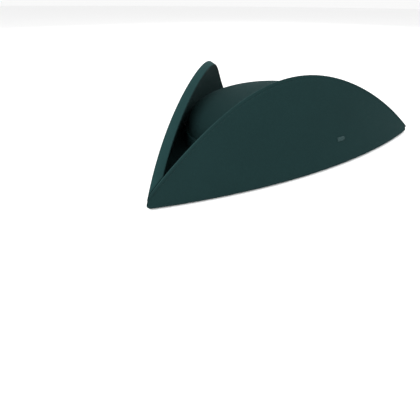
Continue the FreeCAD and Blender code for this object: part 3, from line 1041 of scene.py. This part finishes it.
@dataclass
class Crown:
    """The oval crown and everything that follows its wall."""

    half_width: float = 85.0 * MM
    half_length: float = 104.0 * MM
    top: float = 60.0 * MM
    spring: float = 28.0 * MM
    wall: float = 3.0 * MM
    shoulder: tuple[float, float] = (2.8, 2.2)
    brim: float = 8.0 * MM
    band_height: float = 18.0 * MM
    band_thickness: float = 3.5 * MM
    band_roll: float = 1.6 * MM
    band_belly: float = 0.25 * MM
    join_width: float = 16.0 * MM
    segments: int = 180

    def points(self, grow: np.ndarray, height: np.ndarray, around: np.ndarray | None = None,
               folds: Folds | None = None) -> Rows:
        """Return rows of points round the crown.

        Args:
            grow: how far outside the crown's outer face each row lies.
            height: the height of each row.
            around: the angles of a row, or None for the whole way round.
            folds: gives how far cloth stands in at the angles of a row of some height.

        Returns:
            One row for each pair.
        """
        if around is None:
            around = np.linspace(0, 2 * np.pi, self.segments, endpoint=False)
        rise, width = self.shoulder
        rows = []
        for out, level in zip(grow, height):
            share = min(max((level - self.spring) / (self.top + out - self.spring), 0.0), 1.0)
            narrow = (1 - share ** rise) ** (1 / width)
            reach = out - (folds(around, level) if folds else 0.0)
            x = (self.half_width + reach) * narrow * np.cos(around)
            y = (self.half_length + reach) * narrow * np.sin(around)
            rows.append(list(np.column_stack([x, y, np.full_like(x, level)])))
        return rows

    def line(self, grow: float, height: float, count: int = 360) -> np.ndarray:
        """Return a closed line round the crown."""
        around = np.linspace(0, 2 * np.pi, count, endpoint=False)
        return np.array(self.points(np.array([grow]), np.array([height]), around)[0])

    def climb(self, grow: float, low: float, steps: int = 34) -> list[tuple[float, float]]:
        """Return (grow, height) pairs up a face of the crown, closer together towards its top."""
        rise = self.top + grow - self.spring
        wall = [(grow, height) for height in np.linspace(low, self.spring, 8)[:-1]]
        shares = np.sin(np.linspace(0, np.pi / 2, steps))
        return wall + [(grow, self.spring + rise * share) for share in shares]

    def ring(self, name: str, outline: Sequence[tuple[float, float]], finish: Dress,
             folds: Folds | None = None, segments: int | None = None) -> bpy.types.Object:
        """Return a closed piece whose outline follows the crown all round.

        Args:
            name: the piece's name.
            outline: (grow, height) pairs of its section.
            finish: its material.
            folds: how far cloth stands in, or None where it lies smooth.
            segments: steps round the crown, or None for the usual number.

        Returns:
            The new object.
        """
        grow, height = np.array(outline).T
        count = segments or self.segments
        turns = np.linspace(0, 2 * np.pi, count, endpoint=False)
        rows = self.points(grow, height, turns, folds)
        around = np.linspace(0, np.pi * (self.half_width + self.half_length), count + 1)
        flat = np.array(rows)
        steps = np.linalg.norm(np.diff(flat[:, 0], axis=0, append=flat[:1, 0]), axis=1)
        across = np.concatenate([[0.0], np.cumsum(steps)])
        return mesh_from_rows(name, rows, finish, True, True, (across, around), None, False, True)

    def shell(self) -> bpy.types.Object:
        """Return the felt crown, hollow, with a soft foot on the brim."""
        foot = self.brim + 0.02 * MM
        outline = [(1.2 * MM, foot), (0.45 * MM, foot + 0.5 * MM)]
        outline += self.climb(0.0, foot + 1.4 * MM)
        outline += self.climb(-self.wall, foot)[::-1]
        return self.ring("crown_felt", outline, Dress.BODY)

    def band(self) -> bpy.types.Object:
        """Return the ribbon round the crown, rolled at its top edge."""
        low = self.brim + 0.1 * MM
        high = self.brim + self.band_height
        thick, roll = self.band_thickness, self.band_roll
        inner = 0.1 * MM
        outline = [(inner, low), (thick - 0.5 * MM, low), (thick, low + 0.5 * MM)]
        middle = np.linspace(low + 1.5 * MM, high - 2.0 * MM, 9)
        outline += [(thick + self.band_belly * math.sin(math.pi * k / 8), level)
                    for k, level in enumerate(middle)]
        half = (thick - inner) / 2
        outline += [(inner + half * (1 + math.cos(a)), high - roll + roll * math.sin(a))
                    for a in np.linspace(0, math.pi, 11)]
        outline += [(inner, level) for level in np.linspace(high - 3.0 * MM, low + 2.0 * MM, 6)]
        return self.ring("hat_ribbon", outline, Dress.RIBBON)

    def band_join(self) -> bpy.types.Object:
        """Return the ribbon's folded end, which lies over the join on the wearer's left."""
        half = self.join_width / 2 / self.half_width
        around = np.linspace(-half, half, 15)
        low, high = self.brim + 0.6 * MM, self.brim + self.band_height - 0.6 * MM
        face = self.band_thickness + 0.05 * MM
        outline = [(face, low), (face + 0.55 * MM, low + 0.2 * MM)]
        outline += [(face + 0.65 * MM, level)
                    for level in np.linspace(low + 1.0 * MM, high - 2.4 * MM, 7)]
        outline += [(face + 0.35 * MM, high - 1.0 * MM), (face - 0.5 * MM, high + 0.35 * MM),
                    (face - 1.0 * MM, high - 0.4 * MM), (face - 0.2 * MM, high - 1.8 * MM)]
        grow, height = np.array(outline).T
        rows = np.array(self.points(grow, height, around)).transpose(1, 0, 2)
        along = np.linspace(0, self.join_width, len(rows) + 1)
        across = np.linspace(0, self.band_height, len(outline) + 1)
        return mesh_from_rows("hat_ribbon_end", list(rows), Dress.RIBBON, True, False,
                              (along, across), None, True)

    def build(self) -> None:
        """Make the crown's pieces, dress them and tie them to the frame."""
        end = self.band_join()
        for piece, node, slot in ((self.shell(), "crown_shell", "wool_felt"),
                                  (self.band(), "hat_band", "ribbon")):
            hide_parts(node)
            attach(piece, "crown")
            log.info("%s rides on crown", piece.name)
        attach(end, "crown")


@dataclass
class Lining:
    """The satin lining: gathered sides, a smooth tip and a corded seam between them."""

    crown: Crown
    face: float = -3.2 * MM
    cloth: float = 0.6 * MM
    foot: float = 12.0 * MM
    seam: float = 42.8 * MM
    seam_gap: float = 0.3 * MM
    gathers: int = 84
    gather_depth: float = 0.75 * MM
    pucker_depth: float = 0.35 * MM
    pucker_fade: float = 5.0 * MM
    cord_radius: float = 0.55 * MM

    def gather(self, around: np.ndarray, height: float) -> np.ndarray:
        """Return how far the gathered side stands in."""
        rise = min(max((height - self.foot) / (self.seam - self.foot), 0.0), 1.0)
        drift = 1.3 * np.sin(5 * around) + 0.8 * np.sin(9 * around + height * 90)
        wave = np.sin(self.gathers * around + drift)
        return self.gather_depth * rise * (0.5 + 0.5 * wave) ** 1.5

    def pucker(self, around: np.ndarray, height: float) -> np.ndarray:
        """Return how far the tip stands in close to its seam."""
        fade = math.exp(-(height - self.seam) / self.pucker_fade)
        wave = np.sin(self.gathers * around + 0.9 * np.sin(7 * around))
        return self.pucker_depth * fade * (0.5 + 0.5 * wave)

    def cord(self) -> bpy.types.Object:
        """Return the cord in the seam."""
        line = self.crown.line(self.face - self.cloth - 0.25 * MM, self.seam, 240)
        return Stitching("lining_cord", 0.0, 0.0, self.cord_radius).lay([line], Dress.CORD, True)

    def build(self) -> None:
        """Make the lining's pieces, dress them and tie them to the frame."""
        inner = self.face - self.cloth
        gap = self.seam_gap
        side = [(self.face, level) for level in np.linspace(self.foot, self.seam - gap, 12)]
        side += [(inner, level) for level in np.linspace(self.seam - gap, self.foot, 12)]
        tip = [(self.face, level) for level in self.heights(self.face)]
        tip += [(inner, level) for level in self.heights(inner)[::-1]]
        side_piece = self.crown.ring("lining_gathers", side, Dress.SATIN, self.gather, 1008)
        tip_piece = self.crown.ring("lining_crown", tip, Dress.SATIN, self.pucker, 504)
        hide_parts("lining_side")
        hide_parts("lining_tip")
        for piece in (side_piece, tip_piece, self.cord()):
            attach(piece, "crown")
            log.info("%s rides on crown", piece.name)

    def heights(self, grow: float) -> list[float]:
        """Return heights from the seam to the pole of the face that lies at a growth."""
        crown = self.crown
        rise = crown.top + grow - crown.spring
        start = math.asin((self.seam + self.seam_gap - crown.spring) / rise)
        turns = np.linspace(start, math.pi / 2, 26)
        return [crown.spring + rise * math.sin(turned) for turned in turns]


@dataclass
class Sweatband:
    """The leather band inside the opening, and the covered reed in its lower edge."""

    crown: Crown
    face: float = -4.0 * MM
    leather: float = 1.2 * MM
    foot: float = 3.4 * MM
    top: float = 32.0 * MM
    reed: float = 1.0 * MM
    reed_height: float = 2.1 * MM
    edge_round: float = 0.4 * MM
    ease_depth: float = 0.22 * MM
    linen: float = 0.34 * MM

    def ease(self, around: np.ndarray, height: float) -> np.ndarray:
        """Return how far the soft leather stands in, most of all along its free upper edge."""
        rise = min(max((height - self.foot) / (self.top - self.foot), 0.0), 1.0)
        wave = np.sin(7 * around + 0.5) + 0.6 * np.sin(11 * around + 2.0)
        return self.ease_depth * rise * (1.6 + wave)

    def build(self) -> None:
        """Make the sweatband's pieces, dress them and tie them to the frame."""
        inner = self.face - self.leather
        soft = self.edge_round
        levels = np.linspace(self.foot + soft, self.top - soft, 14)
        outline = [(self.face, level) for level in levels]
        outline += [(self.face - soft, self.top), (inner + soft, self.top)]
        outline += [(inner, level) for level in levels[::-1]]
        outline += [(inner + soft, self.foot), (self.face - soft, self.foot)]
        band = self.crown.ring("sweatband_leather", outline, Dress.LEATHER, self.ease, 360)
        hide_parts("sweatband")
        reed = self.reed_tube()
        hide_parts("sweatband_reed")
        seam = inner - 0.05 * MM
        rows = [self.crown.line(seam, self.foot + above) for above in (2.2 * MM, 4.2 * MM)]
        thread = Stitching("sweatband_stitches", 3.6 * MM, 2.4 * MM, self.linen)
        sewn = thread.sew(rows, True, Dress.LINEN)
        join = self.join_seam(seam)
        for piece in (band, reed, sewn, join):
            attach(piece, "crown")
            log.info("%s rides on crown", piece.name)

    def join_seam(self, grow: float) -> bpy.types.Object:
        """Return the cross stitches that close the leather at the back of the head."""
        strands = []
        crown = self.crown
        reach = 2.2 * MM / crown.half_width
        levels = np.arange(self.foot + 6.5 * MM, self.top - 2.0 * MM, 2.8 * MM)
        for level in levels:
            for way in (-1, 1):
                turns = math.pi / 2 + np.linspace(-reach, reach, 7)
                heights = level + way * np.linspace(-1.2 * MM, 1.2 * MM, 7)
                ease = self.ease(turns, float(level)) + 0.15 * MM
                x = (crown.half_width + grow - ease) * np.cos(turns)
                y = (crown.half_length + grow - ease) * np.sin(turns)
                strands.append(np.column_stack([x, y, heights]))
        return Stitching("sweatband_join", 0.0, 0.0, self.linen).lay(strands, Dress.LINEN)

    def reed_tube(self) -> bpy.types.Object:
        """Return the reed in its whipped cover."""
        crown = self.crown
        middle = self.face - self.leather / 2
        around = np.linspace(0, 2 * np.pi, 720, endpoint=False)
        turns = np.linspace(0, 2 * np.pi, 12, endpoint=False)
        up = np.array([0.0, 0.0, 1.0])
        rows = []
        for index, angle in enumerate(around):
            way = np.array([math.cos(angle), math.sin(angle), 0.0])
            hub = np.array([(crown.half_width + middle) * way[0],
                            (crown.half_length + middle) * way[1], self.reed_height])
            thick = self.reed * (0.95 + 0.05 * np.sin(turns + index * 0.9))
            rows.append([hub + radius * (math.cos(turned) * way + math.sin(turned) * up)
                         for turned, radius in zip(turns, thick)])
        return mesh_from_rows("reed_cover", rows, Dress.REED, True, True, None, None, False, True)


@dataclass
class BrimFloor:
    """The flat brim between the head opening and the creases."""

    creases: Sequence[Crease]
    crown: Crown
    edge_round: float = 1.0 * MM
    bevel: float = 1.1 * MM
    ripple: float = 0.25 * MM
    ripples: int = 5
    segments: int = 720

    def reach(self, angle: float, inset: float) -> float:
        """Return how far the floor's edge lies from the origin in one direction.

        Args:
            angle: the direction in the plan.
            inset: how far inside the creases' outer faces the edge lies.

        Returns:
            The distance to the nearest of the three arcs.
        """
        way = np.array([math.cos(angle), math.sin(angle)])
        hits = []
        for crease in self.creases:
            radius = crease.radius - inset
            middle = crease.centre
            square = way @ middle
            hits.append(square + math.sqrt(square ** 2 - middle @ middle + radius ** 2))
        return min(hits)

    def build(self) -> None:
        """Make the floor as one closed felt ring and tie it to the frame."""
        plan = self.creases[0].plan
        inset = plan.brim + plan.fold_gap
        angles = np.linspace(0, 2 * np.pi, self.segments, endpoint=False)
        edges = np.array([self.reach(angle, inset) for angle in angles])
        brim = plan.brim
        soft = self.edge_round
        inner = -self.crown.wall
        rows = []
        for share, height in self.outline(brim, soft):
            ring = []
            for angle, edge in zip(angles, edges):
                way = np.array([math.cos(angle), math.sin(angle)])
                wide = self.crown.half_width + inner
                long = self.crown.half_length + inner
                hole = 1 / math.hypot(way[0] / wide, way[1] / long)
                span = edge - hole
                near = min(max(share, 0.0), 1.0)
                across = (span - self.bevel * (height > brim / 2)) * near
                distance = hole + across + soft * (share < 0.001)
                wave = math.sin(math.pi * near) * math.sin(self.ripples * angle + 9 * near)
                lift = self.ripple * wave * (height > 0)
                ring.append(np.array([*(way * distance), height + lift]))
            rows.append(ring)
        floor = mesh_from_rows("brim_felt", rows, Dress.BODY, True, True)
        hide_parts("brim_top_felt", "brim_core", "brim_under_felt")
        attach(floor, "crown")
        line = self.crown.line(4.0 * MM, 0.05 * MM)
        sewn = Stitching("brim_stitches", 4.6 * MM, 3.0 * MM, 0.3 * MM).sew([line], True)
        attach(sewn, "crown")
        log.info("%s and %s ride on crown", floor.name, sewn.name)

    @staticmethod
    def outline(brim: float, soft: float) -> list[tuple[float, float]]:
        """Return the floor's section as shares of its width and heights."""
        shares = np.linspace(0.02, 1.0, 16)
        top = [(share, brim) for share in shares]
        under = [(share, 0.0) for share in shares[::-1]]
        return [(0.0, 0.0), (0.006, soft), (0.006, brim - soft), (0.0, brim)] + top + under


def dress_frame() -> None:
    """Give the frame's own nodes their finishes."""
    finishes = {
        "lining_side": Dress.SATIN, "lining_tip": Dress.SATIN, "sweatband": Dress.LEATHER,
        "sweatband_reed": Dress.REED, "edge_stay": Dress.STEEL, "stud": Dress.NICKEL,
        "socket": Dress.NICKEL, "core": Dress.BOARD, "bar_tack": Dress.BAR_THREAD,
        "hat_band": Dress.RIBBON, "binding": Dress.BINDING, "felt": Dress.BODY,
        "shell": Dress.BODY,
    }
    for name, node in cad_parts.items():
        finish = next(value for ending, value in finishes.items() if name.endswith(ending))
        node.data.materials.clear()
        node.data.materials.append(finish.value.material())


# ---------------------------------------------------------------------------- the studio
@dataclass(frozen=True)
class Lamp:
    """One soft area light, aimed at the hat."""

    name: str
    azimuth: float
    elevation: float
    distance: float
    size: float
    power: float

    def build(self) -> None:
        """Put the light in the scene."""
        data = bpy.data.lights.new(self.name, "AREA")
        data.shape = "DISK"
        data.size = self.size
        data.energy = self.power
        lamp = bpy.data.objects.new(self.name, data)
        bpy.context.scene.collection.objects.link(lamp)
        way = direction(self.azimuth, self.elevation)
        lamp.location = way * self.distance
        lamp.rotation_mode = "QUATERNION"
        lamp.rotation_quaternion = way.to_track_quat("Z", "Y")


def direction(azimuth: float, elevation: float) -> Vector:
    """Return the unit vector from the hat to a viewer at an azimuth and elevation in degrees."""
    a, e = math.radians(azimuth), math.radians(elevation)
    return Vector((math.sin(a) * math.cos(e), -math.cos(a) * math.cos(e), math.sin(e)))


@dataclass(frozen=True)
class Studio:
    """Pale floor, soft light and the camera."""

    floor_size: float = 9.0
    floor_height: float = -0.35 * MM
    azimuth: float = 30.5
    elevation: float = 23.4
    distance: float = 0.4
    lens: float = 26.2
    aim: tuple[float, float, float] = (0.0, 3.0 * MM, 0.0)
    roll: float = 0.6
    shift: tuple[float, float] = (-0.133, -0.183)
    lamps: tuple[Lamp, ...] = (
        Lamp("key light", 10.0, 54.0, 1.8, 0.9, 17.0),
        Lamp("fill light", 28.0, 27.0, 1.8, 0.5, 12.0),
        Lamp("side light", -105.0, 28.0, 1.9, 1.0, 8.0),
        Lamp("back light", 172.0, 20.0, 2.0, 1.4, 8.0),
    )

    def build(self) -> None:
        """Make the floor, the lights, the world and the camera."""
        self.floor()
        for lamp in self.lamps:
            lamp.build()
        world = bpy.data.worlds.new("studio")
        world.use_nodes = True
        world.node_tree.nodes["Background"].inputs["Color"].default_value = (1.0, 1.0, 1.0, 1.0)
        world.node_tree.nodes["Background"].inputs["Strength"].default_value = 0.95
        bpy.context.scene.world = world
        bpy.context.scene.view_settings.view_transform = "Standard"
        self.camera()

    def floor(self) -> None:
        """Make the studio floor."""
        mesh = bpy.data.meshes.new("floor")
        bm = bmesh.new()
        bmesh.ops.create_circle(bm, cap_ends=True, segments=96, radius=self.floor_size)
        bmesh.ops.translate(bm, verts=bm.verts, vec=(0, 0, self.floor_height))
        bm.to_mesh(mesh)
        bm.free()
        show("floor", mesh, Dress.PAPER)

    def camera(self) -> None:
        """Make the camera."""
        data = bpy.data.cameras.new("camera")
        data.lens = self.lens
        data.shift_x, data.shift_y = self.shift
        camera = bpy.data.objects.new("camera", data)
        bpy.context.scene.collection.objects.link(camera)
        way = direction(self.azimuth, self.elevation)
        camera.location = Vector(self.aim) + way * self.distance
        camera.rotation_mode = "QUATERNION"
        spin = Quaternion((0.0, 0.0, 1.0), math.radians(self.roll))
        camera.rotation_quaternion = way.to_track_quat("Z", "Y") @ spin
        bpy.context.scene.camera = camera


def main() -> None:
    """Build the hat and its studio."""
    logging.basicConfig(level=logging.INFO, format="%(name)s: %(message)s")
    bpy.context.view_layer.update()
    dress_frame()
    plan = Plan()
    side = {"bulge": 24.7 * MM, "rise": 89.0 * MM, "lean_in": 40.0 * MM}
    left = Crease(plan, 0, **side)
    rear = Crease(plan, 1, bulge=20.0 * MM, rise=38.0 * MM, lean_in=8.0 * MM, fullness=(1.02, 1.02))
    right = Crease(plan, 2, fullness=(1.07, 1.02), **side)
    crown = Crown()
    crown.build()
    Lining(crown).build()
    Sweatband(crown).build()
    BrimFloor((left, rear, right), crown).build()
    tack, stud = 0.5875, 0.455
    for flap in (Flap("left", left, tack_station=tack, stud_station=stud), Flap("rear", rear),
                 Flap("right", right, tack_station=1 - tack, stud_station=1 - stud)):
        flap.build()
    Studio().build()


if __name__ == "__main__":
    main()
